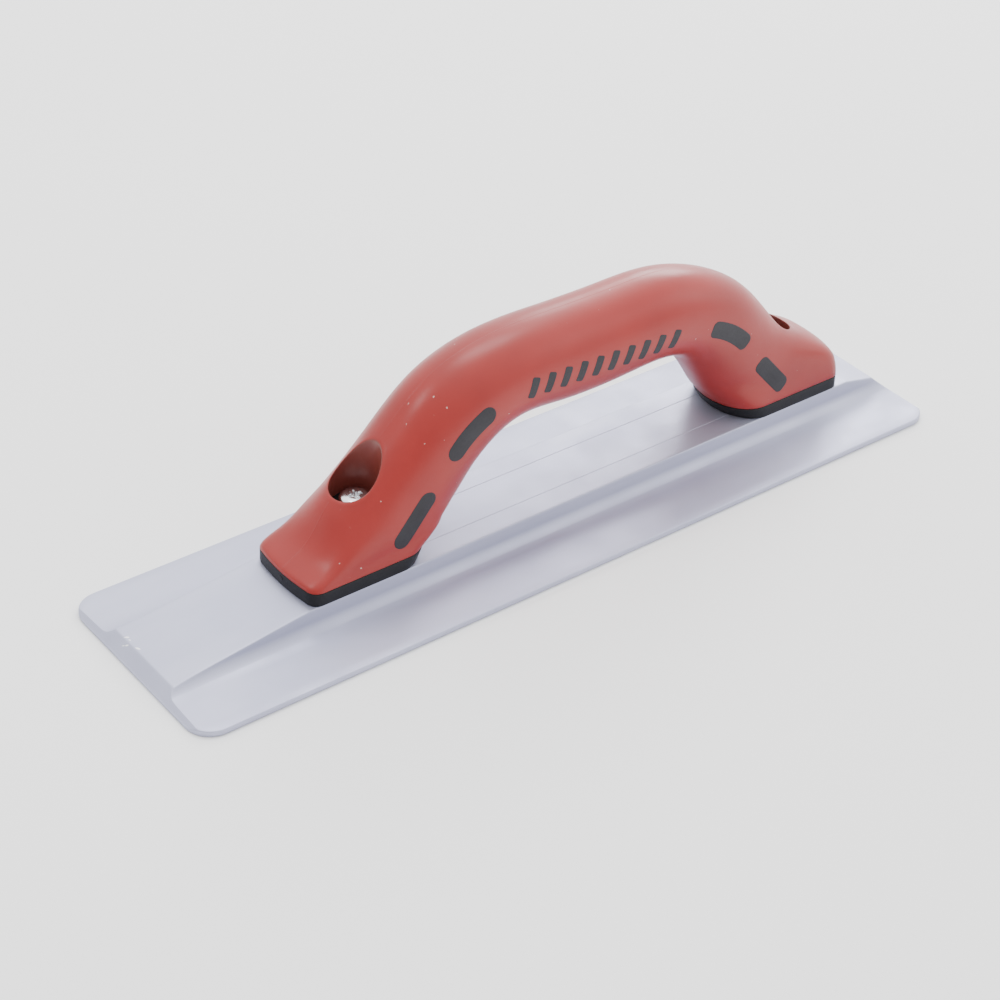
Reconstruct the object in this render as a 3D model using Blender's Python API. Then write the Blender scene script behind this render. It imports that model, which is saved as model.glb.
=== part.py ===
"""Magnesium hand float: extruded blade, two-material handle, two handle screws."""

import math

import bmesh
import bpy
import numpy as np
from mathutils import Vector

# Driving dimensions, metres.  X runs along the blade, Z is up, Z = 0 is the working face.
BLADE_LENGTH = 0.3048
BLADE_WIDTH = 0.0794
FLANGE_EDGE = 0.0020
FLANGE_ROOT = 0.0024
SPINE_HEIGHT = 0.01036
SPINE_HALF = 0.0163
SPINE_FOOT = 0.0168
FLANK_RADIUS = 0.0032
GROOVE_OFFSET = 0.0080
GROOVE_WIDTH = 0.0003
GROOVE_DEPTH = 0.00015
EDGE_CHAMFER = 0.0006
CORNER_RADIUS = 0.0090
END_FACE = 0.0008
FRONT_TAPER_START = -0.0987
REAR_TAPER_START = 0.1319
REAR_TAPER_END = (0.1448, 0.0076)
TAPER_END = 0.1482
TAPER_END_HEIGHT = 0.0044
GAP = 0.0003
BAND_TOP = 0.0151
BAND_LEAN = 0.0028
SKIN = 0.0025
SCREW_X = (-0.0704, 0.1044)
POCKET_RADIUS = 0.0083
LINER_RADIUS = 0.0098
POCKET_FLOOR = 0.0295
SHANK_RADIUS = 0.0024
SHANK_HOLE = 0.0027
THREAD_DEPTH = 0.0074
HEAD_RADIUS = 0.0051
HEAD_HEIGHT = 0.0036
HEAD_DOME = 0.0013
RECESS_DEPTH = 0.0018
RECESS_WIDTH = 0.0012
RECESS_LENGTH = 0.0052

# A handle surface of RING_COUNT rings; the foot outline fades out over FOOT_SHARE of its length.
RING_POINTS = 36
RING_COUNT = 46
FOOT_SHARE = 0.10
MM = 0.001
ABOVE_ALL = 0.09

# Handle sections from the front toe over the grip to the rear toe, millimetres:
# upper x, upper z, lower x, lower z, half width, squareness of upper and of lower half.
SECTIONS = (
    (-98.5, 15.4, -48.4, 15.4, 16.6, 7.0, 3.0),
    (-98.2, 16.4, -43.7, 18.9, 16.3, 4.5, 2.6),
    (-91.5, 20.4, -40.4, 22.5, 16.2, 3.0, 2.4),
    (-82.0, 32.3, -34.3, 26.9, 16.1, 2.4, 2.2),
    (-64.5, 48.3, -27.3, 35.7, 16.1, 2.2, 2.1),
    (-45.3, 65.9, -15.7, 43.5, 15.9, 2.1, 2.1),
    (-18.9, 74.7, -4.3, 44.4, 15.6, 2.1, 2.1),
    (8.3, 75.4, 7.6, 43.0, 15.3, 2.1, 2.1),
    (31.8, 75.3, 26.7, 42.9, 15.0, 2.1, 2.1),
    (52.5, 74.5, 45.1, 43.8, 14.8, 2.1, 2.1),
    (72.8, 68.2, 56.8, 41.5, 14.6, 2.1, 2.1),
    (90.3, 56.4, 62.9, 36.4, 14.7, 2.2, 2.1),
    (102.7, 42.3, 68.0, 29.5, 15.0, 2.4, 2.2),
    (117.0, 31.8, 71.9, 23.5, 15.3, 3.0, 2.4),
    (127.5, 23.3, 75.2, 18.9, 15.9, 4.5, 2.6),
    (128.9, 15.4, 78.2, 15.4, 16.6, 7.0, 3.0),
)

# Islands of the core that show in the skin, both sides: centre line (x, z) and width, mm.
ISLANDS = (
    (((-63.9, 22.8), (-54.3, 33.9)), 6.4),
    (((-42.8, 47.7), (-38.0, 52.6), (-31.2, 56.6)), 6.4),
    (((66.2, 53.8), (72.5, 50.4), (78.2, 45.6)), 6.2),
    (((89.2, 32.2), (97.4, 22.5)), 6.4),
)


def clear_scene():
    for item in list(bpy.data.objects):
        bpy.data.objects.remove(item, do_unlink=True)


def make_object(name, verts, faces):
    bm = bmesh.new()
    made = [bm.verts.new(v) for v in verts]
    for face in faces:
        bm.faces.new([made[i] for i in face])
    bmesh.ops.recalc_face_normals(bm, faces=bm.faces)
    mesh = bpy.data.meshes.new(name)
    bm.to_mesh(mesh)
    bm.free()
    obj = bpy.data.objects.new(name, mesh)
    bpy.context.scene.collection.objects.link(obj)
    return obj


def prism(name, outline, axis, low, high):
    """Closed prism; outline is given in the two other axes, in order."""
    def place(a, b, c):
        if axis == "X":
            return (c, a, b)
        if axis == "Y":
            return (a, c, b)
        return (a, b, c)
    n = len(outline)
    verts = [place(a, b, low) for a, b in outline]
    verts += [place(a, b, high) for a, b in outline]
    faces = [tuple(range(n)), tuple(range(n, 2 * n))]
    faces += [(i, (i + 1) % n, n + (i + 1) % n, n + i) for i in range(n)]
    return make_object(name, verts, faces)


def cylinder(name, x, radius, low, high, count=40):
    ring = []
    for i in range(count):
        a = 2 * math.pi * i / count
        ring.append((x + radius * math.cos(a), radius * math.sin(a)))
    return prism(name, ring, "Z", low, high)


def boolean(target, tool, operation):
    mod = target.modifiers.new("cut", "BOOLEAN")
    mod.object = tool
    mod.operation = operation
    mod.solver = "EXACT"
    bpy.context.view_layer.update()
    graph = bpy.context.evaluated_depsgraph_get()
    mesh = bpy.data.meshes.new_from_object(target.evaluated_get(graph))
    target.modifiers.clear()
    target.data = mesh
    bpy.data.objects.remove(tool, do_unlink=True)


def finish(obj, color, metallic, roughness, sharp=30.0):
    bm = bmesh.new()
    bm.from_mesh(obj.data)
    bmesh.ops.remove_doubles(bm, verts=bm.verts, dist=0.000001)
    bmesh.ops.triangulate(bm, faces=bm.faces)
    for face in bm.faces:
        face.smooth = True
    for edge in bm.edges:
        if len(edge.link_faces) == 2:
            edge.smooth = edge.calc_face_angle() < math.radians(sharp)
    bm.to_mesh(obj.data)
    bm.free()
    material = bpy.data.materials.new(obj.name)
    material.use_nodes = True
    shader = material.node_tree.nodes["Principled BSDF"]
    shader.inputs["Base Color"].default_value = (*color, 1.0)
    shader.inputs["Metallic"].default_value = metallic
    shader.inputs["Roughness"].default_value = roughness
    obj.data.materials.clear()
    obj.data.materials.append(material)
    obj.data.name = obj.name


def spline(rows, count):
    """Natural cubic spline through the section rows, at even steps along the handle."""
    y = np.array(rows, float)
    n = len(y)
    middle = (y[:, 0:2] + y[:, 2:4]) / 2
    h = np.linalg.norm(np.diff(y[:, 0:2], axis=0), axis=1) / 2
    h += np.linalg.norm(np.diff(middle, axis=0), axis=1) / 2
    s = np.concatenate([[0], np.cumsum(h)])
    a = np.eye(n)
    b = np.zeros(y.shape)
    for i in range(1, n - 1):
        a[i, i - 1] = h[i - 1]
        a[i, i] = 2 * (h[i - 1] + h[i])
        a[i, i + 1] = h[i]
        b[i] = 6 * ((y[i + 1] - y[i]) / h[i] - (y[i] - y[i - 1]) / h[i - 1])
    m = np.linalg.solve(a, b)
    out = []
    for t in np.linspace(0, s[-1], count):
        k = min(int(np.searchsorted(s, t, side="right")) - 1, n - 2)
        u = t - s[k]
        v = s[k + 1] - t
        row = (m[k] * v ** 3 + m[k + 1] * u ** 3) / (6 * h[k])
        row += (y[k] / h[k] - m[k] * h[k] / 6) * v
        row += (y[k + 1] / h[k] - m[k + 1] * h[k] / 6) * u
        out.append(row)
    return out


def power(value, exponent):
    return math.copysign(abs(value) ** exponent, value)


def foot_shape():
    """Unit outline of a foot: squared outer end, straight sides, half-elliptic inner end."""
    half = []
    for y in (0, 0.15, 0.3, 0.45, 0.6, 0.76):
        half.append((1 - 0.05 * (y / 0.84) ** 2, y))
    corner = half[-1][0] - 0.16
    for k in range(1, 8):
        a = math.radians(12 + 78 * k / 7)
        half.append((corner + 0.16 * math.cos(a), 0.76 + 0.24 * math.sin(a)))
    half.append((0.2, 1.0))
    for k in range(16):
        a = math.radians(6 * k)
        half.append((-0.5 - 0.5 * math.sin(a), math.cos(a)))
    return half + [(x, -y) for x, y in reversed(half[1:-1])]


def oval_shape(upper, lower):
    outline = []
    for i in range(240):
        a = 2 * math.pi * i / 240
        n = max(upper if math.cos(a) >= 0 else lower, 2.0)
        outline.append((power(math.cos(a), 2 / n), power(math.sin(a), 2 / n)))
    return outline


def even_points(outline, length, half):
    """The outline at real size, as evenly spaced points from its outer middle."""
    p = np.array(outline + [outline[0]]) * (length, half)
    s = np.concatenate([[0], np.cumsum(np.linalg.norm(np.diff(p, axis=0), axis=1))])
    t = np.linspace(0, s[-1], RING_POINTS + 1)[:-1]
    return np.stack([np.interp(t, s, p[:, 0]), np.interp(t, s, p[:, 1])], 1)


def section_ring(row, share):
    ux, uz, lx, lz, half, upper, lower = row
    length = math.hypot(ux - lx, uz - lz) / 2
    points = even_points(oval_shape(upper, lower), length, half)
    if share > 0:
        points = points * (1 - share) + even_points(foot_shape(), length, half) * share
    ring = []
    for along, across in points:
        x = (ux + lx) / 2 + (ux - lx) / 2 * along / length
        z = (uz + lz) / 2 + (uz - lz) / 2 * along / length
        ring.append(Vector((x, across, z)) * MM)
    return ring


def handle_rings():
    rings = []
    for i, row in enumerate(spline(SECTIONS, RING_COUNT)):
        end = min(i, RING_COUNT - 1 - i) / (RING_COUNT - 1)
        share = 1 - min(end / FOOT_SHARE, 1.0)
        rings.append(section_ring(row, share * share * (3 - 2 * share)))
    return rings


def offset_rings(rings, distance):
    """The same rings moved inwards along the surface normal; end rings stay in plane."""
    count = len(rings)
    n = RING_POINTS
    out = []
    for i, ring in enumerate(rings):
        before = rings[max(i - 1, 0)]
        after = rings[min(i + 1, count - 1)]
        centre = sum(ring, Vector()) / n
        moved = []
        for j, point in enumerate(ring):
            along = after[j] - before[j]
            around = ring[(j + 1) % n] - ring[j - 1]
            normal = along.cross(around)
            if i in (0, count - 1):
                normal.z = 0
            normal.normalize()
            if normal.dot(point - centre) < 0:
                normal.negate()
            moved.append(point - normal * distance)
        out.append(moved)
    return out


def solid_tube(name, rings):
    """Closed solid through rings of RING_POINTS points."""
    verts = [p for ring in rings for p in ring]
    n = RING_POINTS
    faces = [tuple(range(n)), tuple(range(len(verts) - n, len(verts)))]
    for a in range(0, len(verts) - n, n):
        for j in range(n):
            k = (j + 1) % n
            faces.append((a + j, a + k, a + n + k, a + n + j))
    return make_object(name, verts, faces)


def capsule(points, width):
    """Outline of a round-ended bar along a centre line, metres."""
    line = [Vector(p) for p in points]
    if len(line) == 3:
        a, b, c = line
        line = [a * (1 - t) ** 2 + (4 * b - a - c) * t * (1 - t) + c * t * t
                for t in (0, 0.25, 0.5, 0.75, 1)]
    half = width / 2
    left = []
    right = []
    for i, p in enumerate(line):
        d = (line[min(i + 1, len(line) - 1)] - line[max(i - 1, 0)]).normalized()
        side = Vector((-d.y, d.x)) * half
        left.append(p + side)
        right.append(p - side)
    caps = []
    for end, inner in ((line[-1], line[-2]), (line[0], line[1])):
        d = (end - inner).normalized()
        side = Vector((-d.y, d.x))
        caps.append([end + (side * math.cos(a) + d * math.sin(a)) * half
                     for a in (math.pi * k / 6 for k in range(1, 6))])
    outline = left + caps[0] + list(reversed(right)) + caps[1]
    return [(p.x * MM, p.y * MM) for p in outline]


def blade_profile():
    """Closed cross-section, (y, z), with the hollow flanks on both sides of the spine."""
    half = [
        (0.0, SPINE_HEIGHT),
        (GROOVE_OFFSET - GROOVE_WIDTH, SPINE_HEIGHT),
        (GROOVE_OFFSET, SPINE_HEIGHT - GROOVE_DEPTH),
        (GROOVE_OFFSET + GROOVE_WIDTH, SPINE_HEIGHT),
        (SPINE_HALF - 0.0004, SPINE_HEIGHT),
        (SPINE_HALF, SPINE_HEIGHT - 0.0004),
    ]
    centre = (SPINE_FOOT + FLANK_RADIUS, FLANGE_ROOT + FLANK_RADIUS)
    for i in range(7):
        a = math.radians(180 + 15 * i)
        half.append((centre[0] + FLANK_RADIUS * math.cos(a),
                     centre[1] + FLANK_RADIUS * math.sin(a)))
    edge = BLADE_WIDTH / 2
    half.append((edge - EDGE_CHAMFER, FLANGE_EDGE))
    half.append((edge, FLANGE_EDGE - EDGE_CHAMFER))
    half.append((edge, 0.0004))
    half.append((edge - 0.0004, 0.0))
    other = [(-y, z) for y, z in reversed(half[1:])]
    return half + other


def side_limits():
    """Side outline (x, z): run-out tapers of the spine and bevelled ends."""
    end = BLADE_LENGTH / 2
    slope = (SPINE_HEIGHT - TAPER_END_HEIGHT) / (TAPER_END + FRONT_TAPER_START)
    top = SPINE_HEIGHT + 0.002
    return [
        (-end, END_FACE), (-TAPER_END, TAPER_END_HEIGHT), (FRONT_TAPER_START + 0.002 / slope, top),
        (REAR_TAPER_START - 0.0090, top), (REAR_TAPER_START, SPINE_HEIGHT), REAR_TAPER_END,
        (end, END_FACE), (end, -0.001), (-end, -0.001),
    ]


def plan_outline():
    outline = []
    cx = BLADE_LENGTH / 2 - CORNER_RADIUS
    cy = BLADE_WIDTH / 2 - CORNER_RADIUS
    for sx, sy, start in ((1, 1, 0), (-1, 1, 90), (-1, -1, 180), (1, -1, 270)):
        for k in range(9):
            a = math.radians(start + 11.25 * k)
            outline.append((sx * cx + CORNER_RADIUS * math.cos(a),
                            sy * cy + CORNER_RADIUS * math.sin(a)))
    return outline


def make_blade():
    reach = BLADE_LENGTH / 2 + 0.002
    blade = prism("blade", blade_profile(), "X", -reach, reach)
    boolean(blade, prism("side", side_limits(), "Y", -0.06, 0.06), "INTERSECT")
    boolean(blade, prism("plan", plan_outline(), "Z", -0.01, 0.03), "INTERSECT")
    for x in SCREW_X:
        hole = cylinder("hole", x, SHANK_HOLE, SPINE_HEIGHT - THREAD_DEPTH, 0.02, 24)
        boolean(blade, hole, "DIFFERENCE")
    finish(blade, (0.62, 0.62, 0.68), 1.0, 0.32)


def side_prisms(widening):
    """Round-ended prisms of all the islands on both sides, as one object."""
    pieces = []
    for points, width in ISLANDS:
        outline = capsule(points, width + 2 * widening)
        pieces.append(prism("bar", outline, "Y", 0.0100, 0.0200))
        pieces.append(prism("bar", outline, "Y", -0.0200, -0.0100))
    bm = bmesh.new()
    for piece in pieces:
        bm.from_mesh(piece.data)
        bpy.data.objects.remove(piece, do_unlink=True)
    mesh = bpy.data.meshes.new("bars")
    bm.to_mesh(mesh)
    bm.free()
    obj = bpy.data.objects.new("bars", mesh)
    bpy.context.scene.collection.objects.link(obj)
    return obj


def make_handle():
    outer = handle_rings()
    body = solid_tube("body", outer)

    hollow = offset_rings(outer, SKIN)
    ends = [[Vector((p.x, p.y, BAND_TOP - 0.002)) for p in ring] for ring in (hollow[0], hollow[-1])]
    cavity = solid_tube("cavity", [ends[0]] + hollow + [ends[1]])
    for x in SCREW_X:
        boolean(cavity, cylinder("liner", x, LINER_RADIUS, POCKET_FLOOR + GAP, ABOVE_ALL), "DIFFERENCE")
    skin = solid_tube("grip_skin", outer)
    boolean(skin, cavity, "DIFFERENCE")
    boolean(skin, side_prisms(0.0), "DIFFERENCE")
    for x in SCREW_X:
        pocket = cylinder("pocket", x, POCKET_RADIUS, POCKET_FLOOR - 0.002, ABOVE_ALL)
        boolean(skin, pocket, "DIFFERENCE")
    finish(skin, (0.52, 0.07, 0.055), 0.0, 0.42, 35.0)

    inner = offset_rings(outer, SKIN + GAP)
    plates = []
    for ring, inset, lean in ((outer[0], inner[0], -BAND_LEAN), (outer[-1], inner[-1], BAND_LEAN)):
        toe = ring[0].x
        span = ring[RING_POINTS // 2].x - toe
        low = [Vector((p.x + lean * (p.x - toe) / span, p.y, SPINE_HEIGHT + GAP)) for p in ring]
        top = [Vector((p.x, p.y, BAND_TOP)) for p in ring]
        neck = [Vector((p.x, p.y, BAND_TOP)) for p in inset]
        plates.append([low, top, neck])
    rings = plates[0] + inner[1:-1] + list(reversed(plates[1]))
    core = solid_tube("handle_core", rings)
    islands = side_prisms(-GAP / MM)
    boolean(islands, body, "INTERSECT")
    boolean(core, islands, "UNION")
    for x in SCREW_X:
        boolean(core, cylinder("pocket", x, LINER_RADIUS + GAP, POCKET_FLOOR, ABOVE_ALL), "DIFFERENCE")
        boolean(core, cylinder("hole", x, SHANK_HOLE, 0.0, 0.05, 24), "DIFFERENCE")
    finish(core, (0.030, 0.030, 0.034), 0.0, 0.5, 35.0)


def make_screw(name, x):
    """Pan-head screw turned about its axis, with a cross recess."""
    seat = POCKET_FLOOR + GAP
    tip = SPINE_HEIGHT - THREAD_DEPTH + GAP
    top = seat + HEAD_HEIGHT
    profile = [(0.0006, tip), (SHANK_RADIUS, tip + 0.0018), (SHANK_RADIUS, seat),
               (HEAD_RADIUS, seat), (HEAD_RADIUS, top - HEAD_DOME)]
    for k in range(1, 5):
        a = math.radians(22.5 * k)
        profile.append((HEAD_RADIUS - HEAD_DOME * (1 - math.cos(a)) * 1.4,
                        top - HEAD_DOME * (1 - math.sin(a))))
    count = 32
    verts = []
    for radius, z in profile:
        for i in range(count):
            a = 2 * math.pi * i / count
            verts.append((x + radius * math.cos(a), radius * math.sin(a), z))
    faces = [tuple(range(count)), tuple(range(len(verts) - count, len(verts)))]
    for r in range(len(profile) - 1):
        for i in range(count):
            k = (i + 1) % count
            faces.append((r * count + i, r * count + k, (r + 1) * count + k, (r + 1) * count + i))
    screw = make_object(name, verts, faces)
    w = RECESS_WIDTH / 2
    r = RECESS_LENGTH / 2
    cross = [(r, -w), (r, w), (w, w), (w, r), (-w, r), (-w, w),
             (-r, w), (-r, -w), (-w, -w), (-w, -r), (w, -r), (w, -w)]
    outline = [(x + a, b) for a, b in cross]
    boolean(screw, prism("recess", outline, "Z", top - RECESS_DEPTH, top + 0.001), "DIFFERENCE")
    finish(screw, (0.75, 0.76, 0.78), 1.0, 0.22)


clear_scene()
make_blade()
make_handle()
make_screw("screw_front", SCREW_X[0])
make_screw("screw_rear", SCREW_X[1])
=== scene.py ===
"""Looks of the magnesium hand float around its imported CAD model."""

import math

import bpy
import numpy as np
from mathutils import Matrix, Vector
from mathutils.bvhtree import BVHTree


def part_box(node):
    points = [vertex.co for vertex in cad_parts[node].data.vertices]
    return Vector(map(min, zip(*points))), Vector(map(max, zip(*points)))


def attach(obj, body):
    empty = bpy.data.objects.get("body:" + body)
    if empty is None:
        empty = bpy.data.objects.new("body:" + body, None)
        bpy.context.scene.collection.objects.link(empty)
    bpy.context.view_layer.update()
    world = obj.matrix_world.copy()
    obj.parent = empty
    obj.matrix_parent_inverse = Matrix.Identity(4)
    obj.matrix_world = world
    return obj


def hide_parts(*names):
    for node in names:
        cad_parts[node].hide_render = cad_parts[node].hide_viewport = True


MM = 0.001

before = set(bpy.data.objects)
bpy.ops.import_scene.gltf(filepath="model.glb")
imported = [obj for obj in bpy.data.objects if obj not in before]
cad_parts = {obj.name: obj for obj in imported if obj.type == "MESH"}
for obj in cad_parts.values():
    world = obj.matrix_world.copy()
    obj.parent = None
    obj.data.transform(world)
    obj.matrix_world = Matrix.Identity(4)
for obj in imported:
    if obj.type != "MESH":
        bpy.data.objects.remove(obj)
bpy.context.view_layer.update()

# ---------------------------------------------------------------- dimensions, millimetres
blade_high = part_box("blade")[1]
END = blade_high.x / MM
EDGE = blade_high.y / MM
SPINE = blade_high.z / MM
CORNER = 9.0
# height of the top along the blade (x, z): front bevel and taper, spine, rear taper and end
SIDE_TOP = [(-END, 0.8), (-148.2, 4.4), (-98.7, SPINE), (131.9, SPINE), (144.8, 7.6), (END, 0.8)]

# the dark foot bands: top height, and how far the inner end leans out at the bottom
BAND_TOP = 15.1
BAND_LEAN = 2.8
POCKETS = tuple(round(sum(p.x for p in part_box(name)) / 2 / MM, 2) for name in ("screw_front", "screw_rear"))
POCKET_R = 8.3
POCKET_FLOOR = 29.8
SEAT = 29.8

# outer x, outer z, inner x, inner z, half width, squareness of outer and inner half
SECTIONS = (
    (-98.5, 15.4, -48.4, 15.4, 16.6, 7.0, 3.0),
    (-98.2, 16.4, -43.7, 18.9, 16.3, 4.5, 2.6),
    (-91.5, 20.4, -40.4, 22.5, 16.2, 3.0, 2.4),
    (-82.0, 32.3, -34.3, 26.9, 16.1, 2.4, 2.2),
    (-64.5, 48.3, -27.3, 35.7, 16.1, 2.2, 2.1),
    (-45.3, 65.9, -15.7, 43.5, 15.9, 2.1, 2.1),
    (-18.9, 74.7, -4.3, 44.4, 15.6, 2.1, 2.1),
    (8.3, 75.3, 7.6, 43.0, 15.3, 2.1, 2.1),
    (31.8, 75.2, 26.7, 42.9, 15.0, 2.1, 2.1),
    (52.5, 74.5, 45.1, 43.8, 14.8, 2.1, 2.1),
    (72.8, 68.2, 56.8, 41.5, 14.6, 2.1, 2.1),
    (90.3, 56.4, 62.9, 36.4, 14.7, 2.2, 2.1),
    (102.7, 42.3, 68.0, 29.5, 15.0, 2.4, 2.2),
    (117.0, 31.8, 71.9, 23.5, 15.3, 3.0, 2.4),
    (127.5, 23.3, 75.2, 18.9, 15.9, 4.5, 2.6),
    (128.9, 15.4, 78.2, 15.4, 16.6, 7.0, 3.0),
)

# inlays on the sides: centre line (x, z), half length, half width, corner radius
INLAYS = (
    (((-65.6, 20.2), (-51.7, 36.2)), 3.35, 3.3),
    (((-44.6, 45.2), (-37.5, 52.5), (-27.8, 57.8)), 3.35, 3.3),
    (((64.0, 54.8), (73.2, 50.2), (81.2, 43.0)), 3.2, 2.3),
    (((87.6, 34.0), (100.0, 19.8)), 3.3, 2.4),
)


# ---------------------------------------------------------------- mesh helpers
def new_mesh(name, verts, faces, smooth_angle=30.0):
    mesh = bpy.data.meshes.new(name)
    mesh.from_pydata([tuple(v) for v in verts], [], faces)
    mesh.validate()
    mesh.polygons.foreach_set("use_smooth", [True] * len(mesh.polygons))
    mesh.update()
    mesh.set_sharp_from_angle(angle=math.radians(smooth_angle))
    obj = bpy.data.objects.new(name, mesh)
    bpy.context.scene.collection.objects.link(obj)
    return obj


def ring_faces(start, rings, n, closed=True):
    faces = []
    for i in range(rings - 1):
        a = start + i * n
        for j in range(n if closed else n - 1):
            k = (j + 1) % n
            faces.append((a + j, a + k, a + n + k, a + n + j))
    return faces


def resample(points, count, closed=True):
    """Even points along a polyline; a closed one starts and ends at its first point."""
    p = np.asarray(points, float)
    if closed:
        p = np.vstack([p, p[:1]])
    d = np.linalg.norm(np.diff(p, axis=0), axis=1)
    s = np.concatenate([[0], np.cumsum(d)])
    t = np.linspace(0, s[-1], count + 1)[:-1] if closed else np.linspace(0, s[-1], count)
    return np.stack([np.interp(t, s, p[:, i]) for i in range(p.shape[1])], 1)


def spline(rows, count):
    """Natural cubic spline through the rows, sampled evenly along the mean of outer and centre line."""
    y = np.asarray(rows, float)
    n = len(y)
    mid = (y[:, 0:2] + y[:, 2:4]) / 2
    h = np.linalg.norm(np.diff(y[:, 0:2], axis=0), axis=1) * 0.5
    h += np.linalg.norm(np.diff(mid, axis=0), axis=1) * 0.5
    s = np.concatenate([[0], np.cumsum(h)])
    a = np.zeros((n, n))
    b = np.zeros((n, y.shape[1]))
    a[0, 0] = a[-1, -1] = 1
    for i in range(1, n - 1):
        a[i, i - 1] = h[i - 1]
        a[i, i] = 2 * (h[i - 1] + h[i])
        a[i, i + 1] = h[i]
        b[i] = 6 * ((y[i + 1] - y[i]) / h[i] - (y[i] - y[i - 1]) / h[i - 1])
    m = np.linalg.solve(a, b)
    t = np.linspace(0, s[-1], count)
    k = np.clip(np.searchsorted(s, t, side="right") - 1, 0, n - 2)
    u = (t - s[k])[:, None]
    v = (s[k + 1] - t)[:, None]
    hk = h[k][:, None]
    out = (m[k] * v ** 3 + m[k + 1] * u ** 3) / (6 * hk)
    out += (y[k] / hk - m[k] * hk / 6) * v + (y[k + 1] / hk - m[k + 1] * hk / 6) * u
    return out


# ---------------------------------------------------------------- blade
def smooth_top(x):
    """Height of the milled top over the blade's length, with slightly eased corners."""
    xs = [p[0] for p in SIDE_TOP]
    zs = [p[1] for p in SIDE_TOP]
    return float(np.mean([np.interp(x + d, xs, zs) for d in np.linspace(-0.3, 0.3, 7)]))


def half_width(x):
    """Half the blade's width in plan, with rounded corners."""
    over = abs(x) - (END - CORNER)
    if over <= 0:
        return EDGE
    return EDGE - CORNER + math.sqrt(max(CORNER ** 2 - over ** 2, 0.0))


def flank_line():
    """Side of the spine and top of the flange (y, z): wall, hollow, nearly flat flange."""
    line = [(16.3, SPINE), (16.7, 6.4)]
    for step in range(13):
        a = math.radians(180 + 7.5 * step)
        line.append((21.5 + 4.8 * math.cos(a), 6.2 + 3.85 * math.sin(a)))
    return line + [(24.0, 2.28), (28.0, 2.2), (34.0, 2.1), (60.0, 1.95)]


FLANK = flank_line()
flank_y = np.array([p[0] for p in FLANK])
flank_z = np.array([p[1] for p in FLANK])


def blade_section(x):
    """Half of the cross-section, from the middle of the top to the middle of the bottom."""
    top = smooth_top(x)
    wide = half_width(x)
    crest = float(np.interp(-top, -flank_z, flank_y))
    thick = min(top, float(np.interp(wide, flank_y, flank_z)))
    ease = min(0.55, thick * 0.42)
    last = wide - ease
    crest = min(crest, last - 0.3)
    r = 0.42  # the rounded edge along the spine
    points = []
    for y in (0.0, 2.5, 5.0, 7.3, 7.7, 7.85, 8.0, 8.15, 8.3, 8.7):
        groove = 0.1 * max(0.0, 1 - abs(y - 8.0) / 0.16)
        points.append((y, min(top, SPINE - groove)))
    for f in (0.2, 0.45, 0.7, 0.9, 1.0):
        points.append((8.7 + (crest - r - 8.7) * f, top))
    if top > 4:
        z_after = top - 0.45
        after = float(np.interp(-z_after, -flank_z, flank_y))
    else:
        after = crest + r
        z_after = min(top, float(np.interp(after, flank_y, flank_z)))
    for t in (0.25, 0.5, 0.75, 1.0):
        y = (1 - t) ** 2 * (crest - r) + 2 * t * (1 - t) * crest + t * t * after
        z = (1 - t) ** 2 * top + 2 * t * (1 - t) * top + t * t * z_after
        points.append((y, z))
    rest = [(after, z_after)]
    rest += [(y, z) for y, z in FLANK if y > after + 0.01 and z < z_after and y < last]
    rest.append((last, min(z_after, float(np.interp(last, flank_y, flank_z)))))
    near = [p for p in rest if p[0] <= 20.01] or [rest[0]]
    far = [near[-1]] + [p for p in rest if p[0] > 20.01]
    if len(near) == 1:
        near = near * 2
    if len(far) == 1:
        far = far * 2
    points += [tuple(p) for p in resample(near, 14, closed=False)[1:]]
    points += [tuple(p) for p in resample(far, 7, closed=False)[1:]]
    z = points[-1][1]
    for deg in (30, 60, 90):
        a = math.radians(deg)
        points.append((last + ease * math.sin(a), z - ease * (1 - math.cos(a))))
    under = min(0.35, thick * 0.35)
    for deg in (0, 45, 90):
        a = math.radians(deg)
        points.append((wide - under * (1 - math.cos(a)), under * (1 - math.sin(a))))
    for f in (0.9, 0.6, 0.3, 0.0):
        points.append(((wide - under) * f, 0.0))
    return points


def build_blade():
    """Sections across the blade, closer together at the corners, creases and bevels."""
    xs = set()
    for k in range(15):
        xs.add(round(END - CORNER + CORNER * math.sin(math.radians(90 * k / 14)), 4))
    xs |= {-x for x in xs}
    for x, _ in SIDE_TOP[1:-1]:
        xs |= {round(x + d, 4) for d in (-1.2, -0.5, -0.3, -0.1, 0.1, 0.3, 0.5, 1.2)}
    xs |= {round(x, 4) for x in np.linspace(-END, END, 90)}
    xs |= {round(x, 4) for x in np.linspace(-151.6, -149.6, 11)}
    xs |= {round(x, 4) for x in np.linspace(149.0, 151.4, 11)}
    xs = sorted(xs)
    rows = []
    for x in xs:
        half = blade_section(x)
        ring = [(x, -y, z) for y, z in half]
        ring += [(x, y, z) for y, z in reversed(half[1:-1])]
        rows.append(ring)
    n = len(rows[0])
    verts = [Vector(p) * MM for row in rows for p in row]
    faces = ring_faces(0, len(rows), n)
    faces = [tuple(reversed(f)) for f in faces]
    faces.append(tuple(range(n)))
    faces.append(tuple(reversed(range(len(verts) - n, len(verts)))))
    return new_mesh("blade_look", verts, faces, 24.0)


# ---------------------------------------------------------------- handle surface
AROUND = 88
RING_COUNT = 230
FOOT_SHARE = 0.10  # the part of the loft, at each end, that turns into the foot outline


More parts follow.
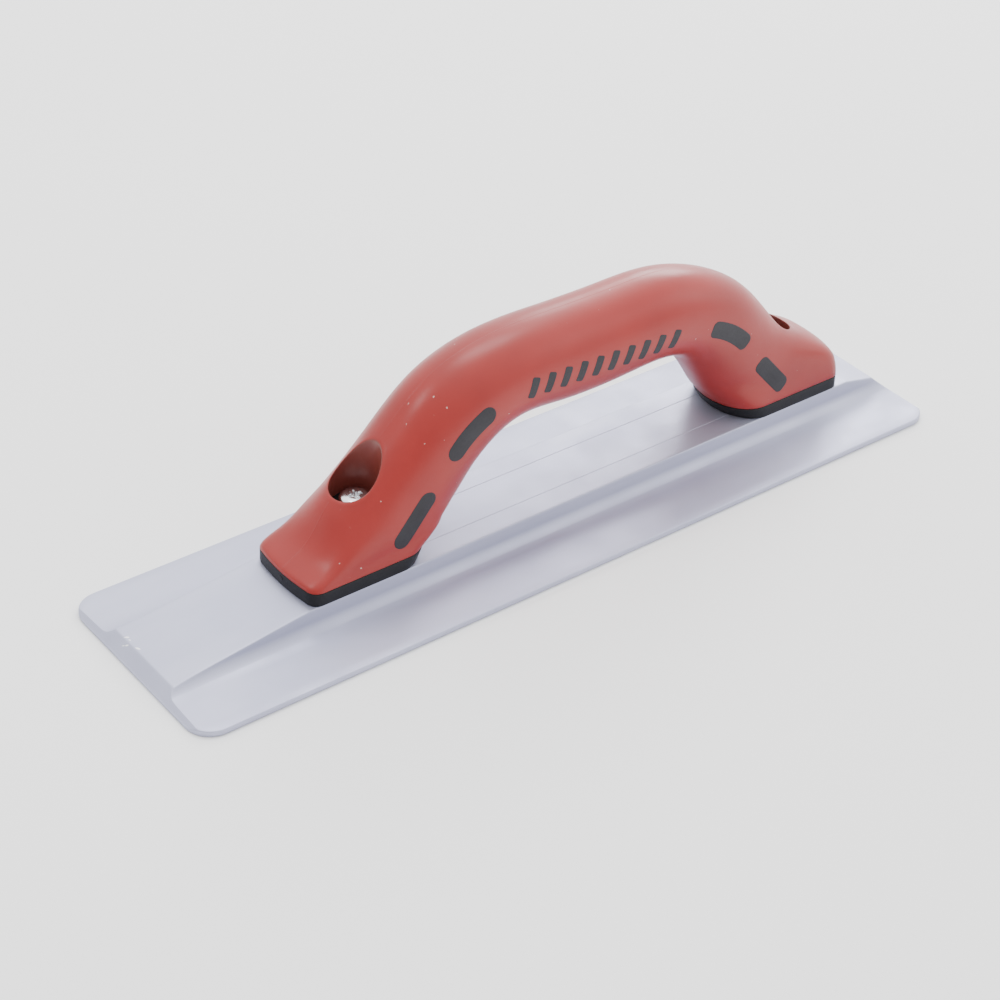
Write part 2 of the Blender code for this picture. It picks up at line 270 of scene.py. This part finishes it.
def foot_shape():
    """Outline of a foot in unit lengths: squared outer end, half-elliptic inner end."""
    pts = []
    for y in np.linspace(0, 0.76, 8):
        pts.append((1 - 0.05 * (y / 0.84) ** 2, y))
    x0 = pts[-1][0]
    for deg in np.linspace(12, 90, 7):
        a = math.radians(deg)
        pts.append((x0 - 0.16 + 0.16 * math.cos(a), 0.76 + 0.24 * math.sin(a)))
    pts.append((0.2, 1.0))
    for deg in np.linspace(0, 90, 16):
        a = math.radians(deg)
        pts.append((-0.5 - 0.5 * math.sin(a), math.cos(a)))
    lower = [(x, -y) for x, y in reversed(pts[1:-1])]
    return np.array(pts + lower)


def oval_shape(upper, lower):
    """Superellipse outline whose upper and lower halves have their own squareness."""
    a = np.linspace(0, 2 * np.pi, 480, endpoint=False)
    c, s = np.cos(a), np.sin(a)
    n = np.where(c >= 0, upper, lower)
    return np.stack([np.sign(c) * np.abs(c) ** (2 / n), np.sign(s) * np.abs(s) ** (2 / n)], 1)


FOOT = foot_shape()


def section_points(row, share):
    """One ring of the handle; share blends the oval into the foot outline."""
    ux, uz, lx, lz, half, upper, lower = row
    length = math.hypot(ux - lx, uz - lz) / 2
    size = np.array([length, half])
    oval = resample(oval_shape(max(upper, 2.0), max(lower, 2.0)) * size, AROUND)
    if share > 0:
        foot = resample(FOOT * size, AROUND)
        oval = oval * (1 - share) + foot * share
    along = oval[:, 0] / length
    out = np.zeros((AROUND, 3))
    out[:, 0] = (ux + lx) / 2 + (ux - lx) / 2 * along
    out[:, 1] = oval[:, 1]
    out[:, 2] = (uz + lz) / 2 + (uz - lz) / 2 * along
    return out


def handle_rings():
    rows = spline(SECTIONS, RING_COUNT)
    rings = []
    for i, row in enumerate(rows):
        end = min(i, RING_COUNT - 1 - i) / (RING_COUNT - 1)
        share = 1 - min(end / FOOT_SHARE, 1.0)
        share = share * share * (3 - 2 * share)
        rings.append(section_points(row, share))
    return np.array(rings)


rings = handle_rings()


def ring_normals(rings):
    along = np.gradient(rings, axis=0)
    around = np.roll(rings, -1, axis=1) - np.roll(rings, 1, axis=1)
    normal = np.cross(along, around)
    centre = rings.mean(axis=1, keepdims=True)
    flip = np.sign(np.sum(normal * (rings - centre), axis=2, keepdims=True))
    normal *= flip
    return normal / np.linalg.norm(normal, axis=2, keepdims=True)


normals = ring_normals(rings)


def surface_tree():
    verts = [Vector(p) for ring in rings for p in ring]
    return BVHTree.FromPolygons(verts, ring_faces(0, len(rings), AROUND))


tree = surface_tree()


def from_above(x, y):
    """Height of the handle surface seen from above."""
    return tree.ray_cast(Vector((x, y, 200.0)), Vector((0, 0, -1)))[0].z


def from_side(x, z, side):
    """Point and outward normal of the handle surface seen from the side."""
    hit, normal, _, _ = tree.ray_cast(Vector((x, side * 100.0, z)), Vector((0, -side, 0)))
    return hit, normal if normal.y * side > 0 else -normal


def build_skin():
    """Outer surface with rolled lower edges and both screw pockets."""
    verts = [Vector(p) for ring in rings for p in ring]
    count = len(rings)
    faces = []
    for i in range(count - 1):
        for j in range(AROUND):
            k = (j + 1) % AROUND
            ids = (i * AROUND + j, i * AROUND + k, (i + 1) * AROUND + k, (i + 1) * AROUND + j)
            mid = sum((verts[q] for q in ids), Vector()) / 4
            inside = any(math.hypot(mid.x - x, mid.y) < POCKET_R + 0.9 for x in POCKETS)
            if inside and mid.z > 24:
                continue
            faces.append(ids)
    # rolled lower edges
    for end in (0, count - 1):
        ring = rings[end]
        n = normals[end].copy()
        n[:, 2] = 0
        n /= np.linalg.norm(n, axis=1, keepdims=True)
        base = end * AROUND
        for inset, drop in ((0.06, 0.12), (0.22, 0.2), (0.9, 0.2)):
            start = len(verts)
            new = ring - n * inset
            new[:, 2] -= drop
            verts += [Vector(p) for p in new]
            for j in range(AROUND):
                k = (j + 1) % AROUND
                faces.append((base + j, base + k, start + k, start + j))
            base = start
    # pockets: a collar laid on the surface, a rounded lip and the wall
    turn = 96
    for x0 in POCKETS:
        rows = [(10.4, -0.05), (9.9, 0.0), (9.4, 0.02), (9.0, 0.02), (8.75, 0.0),
                (8.58, -0.05), (8.42, -0.16), (8.33, -0.32), (POCKET_R, -0.55)]
        start = len(verts)
        rim = []
        for radius, lift in rows:
            for q in range(turn):
                a = 2 * math.pi * q / turn
                x = x0 + radius * math.cos(a)
                y = radius * math.sin(a)
                z = from_above(x, y)
                verts.append(Vector((x, y, z + lift)))
                if radius == POCKET_R:
                    rim.append(z + lift)
        for f in (0.12, 0.3, 0.5, 0.7, 0.85, 1.0):
            for q in range(turn):
                a = 2 * math.pi * q / turn
                z = rim[q] + (POCKET_FLOOR - rim[q]) * f
                radius = POCKET_R - 0.25 * f
                verts.append(Vector((x0 + radius * math.cos(a), radius * math.sin(a), z)))
        faces += ring_faces(start, len(rows) + 6, turn)
    return new_mesh("skin_look", [v * MM for v in verts], faces, 50.0)


def build_ridge(height, half):
    """Fine mould parting ridge along the outer line of the handle, open at the pockets."""
    verts = []
    faces = []
    previous = None
    for p, n in zip(rings[2:-2, 0], normals[2:-2, 0]):
        if p[2] > 24 and any(abs(p[0] - x) < POCKET_R + 0.6 for x in POCKETS):
            previous = None
            continue
        start = len(verts)
        for across, lift in ((-1.6, -0.03), (-0.6, height * 0.55), (0, height), (0.6, height * 0.55),
                             (1.6, -0.03)):
            verts.append((Vector(p) + Vector((0, across * half, 0)) + Vector(n) * lift) * MM)
        if previous is not None:
            faces += [(previous + q, previous + q + 1, start + q + 1, start + q) for q in range(4)]
        previous = start
    return new_mesh("parting_ridge", verts, faces, 80.0)


# ---------------------------------------------------------------- inlays and bars
def bar_outline(a, b, radius, count=6):
    """Closed rounded bar in (along, across), both half sizes given."""
    radius = max(min(radius, a, b), 0.001)
    pts = []
    for cx, cy, start in ((a, b, 0), (-a, b, 90), (-a, -b, 180), (a, -b, 270)):
        sx = math.copysign(1, cx)
        sy = math.copysign(1, cy)
        for k in range(count + 1):
            t = math.radians(start + 90 * k / count)
            pts.append((sx * (a - radius) + radius * math.cos(t), sy * (b - radius) + radius * math.sin(t)))
        if start in (0, 180):
            steps = (0.12, 0.25, 0.38, 0.5, 0.62, 0.75, 0.88)
            pts += [(sx * (a - radius) * (1 - 2 * f), sy * b) for f in steps]
    return pts


def centre_curve(points):
    """Points along a straight or gently curved centre line, and their arc lengths from its middle."""
    p = [np.array(q, float) for q in points]
    if len(p) == 2:
        line = [p[0] + (p[1] - p[0]) * t for t in np.linspace(0, 1, 41)]
    else:
        c = 2 * p[1] - (p[0] + p[2]) / 2
        line = [p[0] * (1 - t) ** 2 + 2 * c * t * (1 - t) + p[2] * t * t for t in np.linspace(0, 1, 41)]
    line = np.array(line)
    s = np.concatenate([[0], np.cumsum(np.linalg.norm(np.diff(line, axis=0), axis=1))])
    return line, s - s[-1] / 2


def inlay_mesh(points, b, radius, side, lift=0.05):
    """A thin bar laid flush in the skin; its border dips under the surface."""
    line, s = centre_curve(points)
    a = s[-1]
    rows = [(0.0, -0.35), (0.0, -0.06), (0.14, lift * 0.7), (0.35, lift), (b * 0.35, lift),
            (b * 0.6, lift), (b * 0.85, lift), (b - 0.02, lift)]
    verts = []
    for inset, height in rows:
        outline = bar_outline(a - inset, b - inset, max(radius - inset, 0.02))
        n = len(outline)
        for u, v in outline:
            x = np.interp(u, s, line[:, 0])
            z = np.interp(u, s, line[:, 1])
            before = max(u - 0.3, s[0])
            after = min(u + 0.3, s[-1])
            dx = np.interp(after, s, line[:, 0]) - np.interp(before, s, line[:, 0])
            dz = np.interp(after, s, line[:, 1]) - np.interp(before, s, line[:, 1])
            size = math.hypot(dx, dz)
            p, normal = from_side(x - dz / size * v, z + dx / size * v, side)
            verts.append(p + normal * height)
    faces = ring_faces(0, len(rows), n)
    faces.append(tuple(range(len(verts) - n, len(verts))))
    return verts, faces


def collect(name, parts, smooth_angle=40.0):
    verts = []
    faces = []
    for v, f in parts:
        start = len(verts)
        verts += [p * MM for p in v]
        faces += [tuple(q + start for q in face) for face in f]
    return new_mesh(name, verts, faces, smooth_angle)


def build_inlays():
    parts = []
    for points, b, radius in INLAYS:
        for side in (-1, 1):
            parts.append(inlay_mesh(points, b, radius, side))
    return collect("inlays", parts)


def build_bars():
    """A plain row of slanted rounded bars along both sides of the grip."""
    parts = []
    count = 10
    lean = 1.25
    half = 3.5
    for side in (-1, 1):
        for i in range(count):
            t = i / (count - 1)
            x = -12.4 + (47.4 + 12.4) * t
            z = 60.3 + (57.0 - 60.3) * t
            points = ((x - lean, z - half), (x + lean, z + half))
            parts.append(inlay_mesh(points, 1.7, 0.9, side, lift=0.03))
    return collect("grip_bars", parts)


# ---------------------------------------------------------------- base bands, pocket floors
def build_bands():
    parts = []
    for end, lean in ((0, -BAND_LEAN), (-1, BAND_LEAN)):
        ring = rings[end]
        n = normals[end].copy()
        n[:, 2] = 0
        n /= np.linalg.norm(n, axis=1, keepdims=True)
        toe = ring[0, 0]
        span = ring[AROUND // 2, 0] - toe
        low = SPINE + 0.03
        rows = [(low, 0.6), (low, 0.3), (low + 0.1, 0.1), (low + 0.3, 0.02), (low + 1.2, 0.0),
                (low + 2.4, 0.0), (low + 3.6, 0.0), (BAND_TOP - 0.25, 0.0), (BAND_TOP - 0.07, 0.05),
                (BAND_TOP, 0.2), (BAND_TOP, 1.2)]
        verts = []
        for z, inset in rows:
            share = (1 - (z - low) / (BAND_TOP - low)) ** 1.3
            for p, d in zip(ring, n):
                x = p[0] + lean * (p[0] - toe) / span * share - d[0] * inset
                verts.append(Vector((x, p[1] - d[1] * inset, z)))
        faces = ring_faces(0, len(rows), AROUND)
        faces.append(tuple(range(AROUND)))
        parts.append((verts, faces))
    return collect("base_bands", parts, 50.0)


def build_floors():
    parts = []
    for x0 in POCKETS:
        verts = []
        rows = [(8.6, SEAT), (5.2, SEAT), (4.9, SEAT - 0.05), (2.6, SEAT - 0.1), (2.5, 27.0), (2.5, 22.0)]
        n = 64
        for radius, z in rows:
            for q in range(n):
                a = 2 * math.pi * q / n
                verts.append(Vector((x0 + radius * math.cos(a), radius * math.sin(a), z)))
        parts.append((verts, ring_faces(0, len(rows), n)))
    return collect("pocket_floors", parts, 40.0)


# ---------------------------------------------------------------- screws
def build_screw(name, x0, spin):
    """Pan head with a cross recess on a plain shank."""
    head = SEAT + 0.02
    top = head + 3.9
    n = 96
    profile = [(2.4, head - 6.0), (2.4, head), (4.9, head), (5.1, head + 0.15), (5.2, head + 0.5),
               (5.2, head + 2.2), (5.1, head + 2.8), (4.85, head + 3.25), (4.4, head + 3.55),
               (3.6, head + 3.75), (2.8, head + 3.85)]
    verts = []
    for radius, z in profile:
        for q in range(n):
            a = 2 * math.pi * q / n
            verts.append(Vector((x0 + radius * math.cos(a), radius * math.sin(a), z)))
    # top of the head as a grid of rings that dips into the cross recess
    radii = [2.5, 2.3, 2.1, 1.9, 1.7, 1.5, 1.3, 1.1, 0.95, 0.8, 0.65, 0.5, 0.35, 0.2, 0.05]
    for radius in radii:
        for q in range(n):
            a = 2 * math.pi * q / n
            u = radius * math.cos(a)
            v = radius * math.sin(a)
            arm = min(abs(u), abs(v))
            far = max(abs(u), abs(v))
            wide = 0.62 + 0.3 * max(0.0, 1 - far / 1.3)
            slope = min(max((wide - arm) / 0.22 + 0.5, 0.0), 1.0)
            depth = 1.8 * min(max((2.45 - far) / 0.9, 0.0), 1.0) * slope
            x = u * math.cos(spin) - v * math.sin(spin)
            y = u * math.sin(spin) + v * math.cos(spin)
            verts.append(Vector((x0 + x, y, top - depth + 0.06 * (1 - (radius / 2.5) ** 2))))
    rows = len(profile) + len(radii)
    faces = ring_faces(0, rows, n)
    faces.append(tuple(range(len(verts) - n, len(verts))))
    return new_mesh(name, [v * MM for v in verts], faces, 45.0)


# ---------------------------------------------------------------- wear and moulding marks
NICKS = (
    ((-148.2, 12.0), (-146.8, 10.9), 0.5), ((-147.6, 10.2), (-147.2, 9.3), 0.3),
    ((-147.9, 5.7), (-147.0, 3.9), 0.5), ((-149.4, 9.4), (-148.6, 8.3), 0.32),
    ((-149.9, 10.4), (-149.4, 9.5), 0.2),
)


def build_nicks():
    """Small bare scratches where the working end of the blade has been knocked."""
    parts = []
    for (x0, y0), (x1, y1), half in NICKS:
        length = math.hypot(x1 - x0, y1 - y0)
        across = (-(y1 - y0) / length * half, (x1 - x0) / length * half)
        verts = []
        for t in (0.0, 0.2, 0.45, 0.7, 1.0):
            wide = math.sin(math.pi * min(max(t, 0.06), 0.94))
            x = x0 + (x1 - x0) * t
            y = y0 + (y1 - y0) * t
            for side in (-1, 0, 1):
                px = x + across[0] * wide * side
                lift = 0.05 if side == 0 else -0.02
                verts.append(Vector((px, y + across[1] * wide * side, smooth_top(px) + lift)))
        faces = []
        for k in range(4):
            for c in range(2):
                i = 3 * k + c
                faces.append((i, i + 3, i + 4, i + 1))
        parts.append((verts, faces))
    return collect("blade_nicks", parts)


def build_nib():
    """The moulding gate: a small round nib on the toe of the front foot."""
    toe = rings[0][0, 0]
    n = 24
    verts = []
    for radius, out in ((1.3, -0.3), (1.25, 0.05), (1.0, 0.14), (0.6, 0.16)):
        for q in range(n):
            a = 2 * math.pi * q / n
            verts.append(Vector((toe - out, radius * math.cos(a), 13.1 + 0.8 * radius * math.sin(a))))
    faces = [tuple(reversed(f)) for f in ring_faces(0, 4, n)]
    faces.append(tuple(reversed(range(3 * n, 4 * n))))
    return collect("gate_nib", [(verts, faces)])


# ---------------------------------------------------------------- materials
def material(name):
    mat = bpy.data.materials.new(name)
    mat.use_nodes = True
    tree_ = mat.node_tree
    return mat, tree_, tree_.nodes["Principled BSDF"]


def node(tree_, kind, **values):
    item = tree_.nodes.new(kind)
    for key, value in values.items():
        setattr(item, key, value)
    return item


def mapped(tree_, scale):
    coords = node(tree_, "ShaderNodeTexCoord")
    mapping = node(tree_, "ShaderNodeMapping")
    mapping.inputs["Scale"].default_value = scale
    tree_.links.new(coords.outputs["Object"], mapping.inputs["Vector"])
    return mapping.outputs["Vector"]


def noise(tree_, scale, detail, vector, roughness=0.5):
    item = node(tree_, "ShaderNodeTexNoise")
    item.inputs["Scale"].default_value = scale
    item.inputs["Detail"].default_value = detail
    item.inputs["Roughness"].default_value = roughness
    tree_.links.new(vector, item.inputs["Vector"])
    return item.outputs["Fac"]


def remap(tree_, value, low, high, to_low, to_high):
    item = node(tree_, "ShaderNodeMapRange")
    item.inputs["From Min"].default_value = low
    item.inputs["From Max"].default_value = high
    item.inputs["To Min"].default_value = to_low
    item.inputs["To Max"].default_value = to_high
    tree_.links.new(value, item.inputs["Value"])
    return item.outputs["Result"]


def ramp(tree_, value, stops):
    item = node(tree_, "ShaderNodeValToRGB")
    elements = item.color_ramp.elements
    while len(elements) < len(stops):
        elements.new(0.5)
    for element, (place, color) in zip(elements, stops):
        element.position = place
        element.color = (*color, 1.0)
    tree_.links.new(value, item.inputs["Fac"])
    return item.outputs["Color"]


def bump(tree_, height, strength, distance, normal=None):
    item = node(tree_, "ShaderNodeBump")
    item.inputs["Strength"].default_value = strength
    item.inputs["Distance"].default_value = distance
    tree_.links.new(height, item.inputs["Height"])
    if normal is not None:
        tree_.links.new(normal, item.inputs["Normal"])
    return item.outputs["Normal"]


def magnesium():
    mat, t, shader = material("magnesium")
    cloud = noise(t, 1.0, 3, mapped(t, (14, 45, 40)))
    t.links.new(ramp(t, cloud, [(0.3, (0.41, 0.42, 0.55)), (0.7, (0.47, 0.48, 0.61))]),
                shader.inputs["Base Color"])
    shader.inputs["Metallic"].default_value = 0.6
    lines = noise(t, 1.0, 4, mapped(t, (5, 1500, 700)), 0.6)
    haze = noise(t, 1.0, 3, mapped(t, (60, 60, 60)))
    t.links.new(remap(t, haze, 0.3, 0.7, 0.42, 0.56), shader.inputs["Roughness"])
    scratch = noise(t, 1.0, 5, mapped(t, (300, 900, 500)), 0.6)
    first = bump(t, lines, 0.10, 0.0002)
    t.links.new(bump(t, scratch, 0.05, 0.0002, first), shader.inputs["Normal"])
    return mat


def painted_pocket_shade_mask(tree_):
    """One on the walls of the screw pockets, zero elsewhere: where shade is painted into the rubber."""
    coords = node(tree_, "ShaderNodeTexCoord").outputs["Object"]
    reaches = []
    for x0 in POCKETS:
        shift = node(tree_, "ShaderNodeVectorMath", operation="SUBTRACT")
        shift.inputs[1].default_value = (x0 * MM, 0.0, 0.0)
        tree_.links.new(coords, shift.inputs[0])
        flat = node(tree_, "ShaderNodeVectorMath", operation="MULTIPLY")
        flat.inputs[1].default_value = (1.0, 1.0, 0.0)
        tree_.links.new(shift.outputs["Vector"], flat.inputs[0])
        reach = node(tree_, "ShaderNodeVectorMath", operation="LENGTH")
        tree_.links.new(flat.outputs["Vector"], reach.inputs[0])
        reaches.append(reach.outputs["Value"])
    nearest = node(tree_, "ShaderNodeMath", operation="MINIMUM")
    for socket, reach in zip(nearest.inputs, reaches):
        tree_.links.new(reach, socket)
    return remap(tree_, nearest.outputs["Value"], (POCKET_R + 0.05) * MM, (POCKET_R + 0.45) * MM, 1.0, 0.0)


def red_rubber():
    mat, t, shader = material("soft_red_rubber")
    cloud = noise(t, 1.0, 3, mapped(t, (35, 35, 35)))
    clean = ramp(t, cloud, [(0.3, (0.25, 0.015, 0.012)), (0.7, (0.31, 0.020, 0.016))])
    dust = noise(t, 1.0, 2, mapped(t, (520, 520, 520)))
    mix = node(t, "ShaderNodeMix", data_type="RGBA")
    t.links.new(remap(t, dust, 0.765, 0.785, 0.0, 0.6), mix.inputs["Factor"])
    t.links.new(clean, mix.inputs[6])
    mix.inputs[7].default_value = (0.75, 0.62, 0.56, 1.0)
    # painted shade: the rubber colour turns dark brown-red on the screw pocket walls
    inside = painted_pocket_shade_mask(t)
    dim = node(t, "ShaderNodeMix", data_type="RGBA")
    t.links.new(inside, dim.inputs["Factor"])
    t.links.new(mix.outputs[2], dim.inputs[6])
    dim.inputs[7].default_value = (0.17, 0.035, 0.028, 1.0)
    t.links.new(dim.outputs[2], shader.inputs["Base Color"])
    grain = noise(t, 1.0, 4, mapped(t, (1400, 1400, 1400)))
    soft = noise(t, 1.0, 2, mapped(t, (90, 90, 90)))
    t.links.new(remap(t, soft, 0.05, 0.95, 0.26, 0.42), shader.inputs["Roughness"])
    shader.inputs["Specular IOR Level"].default_value = 0.4
    shader.inputs["Subsurface Weight"].default_value = 0.05
    shader.inputs["Subsurface Radius"].default_value = (0.003, 0.001, 0.0006)
    shader.inputs["Subsurface Scale"].default_value = 1.0
    first = bump(t, grain, 0.12, 0.00015)
    t.links.new(bump(t, soft, 0.12, 0.0005, first), shader.inputs["Normal"])
    return mat


def dark_plastic(name, low, high, rough):
    mat, t, shader = material(name)
    cloud = noise(t, 1.0, 3, mapped(t, (120, 120, 120)))
    t.links.new(ramp(t, cloud, [(0.3, low), (0.7, high)]), shader.inputs["Base Color"])
    shader.inputs["Specular IOR Level"].default_value = 0.3
    grain = noise(t, 1.0, 4, mapped(t, (1800, 1800, 1800)))
    t.links.new(remap(t, grain, 0.3, 0.7, rough - 0.05, rough + 0.08), shader.inputs["Roughness"])
    t.links.new(bump(t, grain, 0.2, 0.00012), shader.inputs["Normal"])
    return mat


def steel():
    mat, t, shader = material("screw_steel")
    cloud = noise(t, 1.0, 2, mapped(t, (200, 200, 200)))
    t.links.new(ramp(t, cloud, [(0.3, (0.74, 0.75, 0.78)), (0.7, (0.82, 0.83, 0.85))]),
                shader.inputs["Base Color"])
    shader.inputs["Metallic"].default_value = 1.0
    fine = noise(t, 1.0, 2, mapped(t, (500, 500, 500)))
    t.links.new(remap(t, fine, 0.3, 0.7, 0.14, 0.2), shader.inputs["Roughness"])
    t.links.new(bump(t, fine, 0.04, 0.0001), shader.inputs["Normal"])
    return mat


def bare_metal():
    mat, t, shader = material("bare_magnesium")
    fine = noise(t, 1.0, 3, mapped(t, (1500, 1500, 1500)))
    t.links.new(ramp(t, fine, [(0.3, (0.86, 0.86, 0.88)), (0.7, (0.95, 0.95, 0.96))]),
                shader.inputs["Base Color"])
    shader.inputs["Metallic"].default_value = 0.3
    t.links.new(remap(t, fine, 0.3, 0.7, 0.3, 0.5), shader.inputs["Roughness"])
    t.links.new(bump(t, fine, 0.3, 0.0001), shader.inputs["Normal"])
    return mat


def paper():
    mat, t, shader = material("paper_floor")
    cloud = noise(t, 1.0, 2, mapped(t, (3, 3, 3)))
    t.links.new(ramp(t, cloud, [(0.3, (0.93, 0.93, 0.93)), (0.7, (0.95, 0.95, 0.95))]),
                shader.inputs["Base Color"])
    shader.inputs["Roughness"].default_value = 0.9
    shader.inputs["Specular IOR Level"].default_value = 0.1
    return mat


def place(obj, mat, slot, *nodes):
    obj.data.materials.append(mat)
    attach(obj, "root")
    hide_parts(*nodes)


metal = magnesium()
rubber = red_rubber()
black = dark_plastic("band_plastic", (0.003, 0.003, 0.0035), (0.006, 0.006, 0.007), 0.5)
grey = dark_plastic("inlay_plastic", (0.015, 0.014, 0.018), (0.022, 0.021, 0.026), 0.5)
bright = steel()
bare = bare_metal()

place(build_blade(), metal, "magnesium", "blade")
place(build_nicks(), bare, "magnesium", "blade")
place(build_nib(), black, "dark_plastic", "handle_core")
place(build_skin(), rubber, "soft_red_rubber", "grip_skin")
place(build_ridge(0.04, 0.2), rubber, "soft_red_rubber", "grip_skin")
place(build_inlays(), grey, "dark_plastic", "handle_core")
place(build_bars(), grey, "dark_plastic", "handle_core")
place(build_bands(), black, "dark_plastic", "handle_core")
place(build_floors(), black, "dark_plastic", "handle_core")
place(build_screw("screw_front_look", POCKETS[0], -0.1), bright, "screw_steel", "screw_front")
place(build_screw("screw_rear_look", POCKETS[1], 1.1), bright, "screw_steel", "screw_rear")

# ---------------------------------------------------------------- floor, light, camera
floor_corners = [(x, y, -0.0002) for x, y in ((-3, -3), (3, -3), (3, 3), (-3, 3))]
floor = new_mesh("floor", floor_corners, [(0, 1, 2, 3)])
floor.data.materials.append(paper())

world = bpy.data.worlds.new("studio")
bpy.context.scene.world = world
world.use_nodes = True
tree_ = world.node_tree
tree_.nodes["Background"].inputs["Color"].default_value = (1.0, 1.0, 1.0, 1.0)
facing = node(tree_, "ShaderNodeVectorMath", operation="DOT_PRODUCT")
facing.inputs[1].default_value = (0.7, 0.35, 0.62)
tree_.links.new(node(tree_, "ShaderNodeTexCoord").outputs["Generated"], facing.inputs[0])
tree_.links.new(remap(tree_, facing.outputs["Value"], -0.9, 0.9, 0.25, 2.6),
                tree_.nodes["Background"].inputs["Strength"])


def softbox(name, location, target, width, height, power):
    data = bpy.data.lights.new(name, "AREA")
    data.shape = "RECTANGLE"
    data.size = width
    data.size_y = height
    data.energy = power
    lamp = bpy.data.objects.new(name, data)
    bpy.context.scene.collection.objects.link(lamp)
    lamp.location = location
    lamp.rotation_euler = (Vector(target) - Vector(location)).to_track_quat("-Z", "Y").to_euler()


softbox("top_box", (0.25, 0.35, 1.1), (0, 0, 0.03), 0.5, 0.35, 5)
softbox("front_top_box", (-0.66, 0.3, 0.95), (-0.07, 0, 0.03), 0.24, 0.2, 1.8)
softbox("back_box", (0.9, 0.7, 0.55), (0, 0, 0.03), 0.5, 0.35, 8)
softbox("right_box", (1.0, -0.6, 0.6), (0.05, 0, 0.02), 0.6, 0.6, 1.5)

azimuth = math.radians(-38.816)
elevation = math.radians(35.64)
roll = math.radians(2.355)
distance = 794.177
across = -8.492
raised = 2.186
aim = Vector((-1.1, 0, 0))
back = Vector((math.sin(azimuth) * math.cos(elevation), -math.cos(azimuth) * math.cos(elevation),
               math.sin(elevation)))
right = (-back).cross(Vector((0, 0, 1))).normalized()
up = right.cross(-back)
right_r = right * math.cos(roll) + up * math.sin(roll)
up_r = -right * math.sin(roll) + up * math.cos(roll)
eye = (back * distance + right * across + up * raised + aim) * MM
camera_data = bpy.data.cameras.new("camera")
camera_data.lens = 84.95
camera_data.sensor_width = 36.0
camera_data.clip_start = 0.01
camera = bpy.data.objects.new("camera", camera_data)
bpy.context.scene.collection.objects.link(camera)
turn_ = Matrix((right_r, up_r, back)).transposed()
camera.matrix_world = Matrix.Translation(eye) @ turn_.to_4x4()
bpy.context.scene.camera = camera
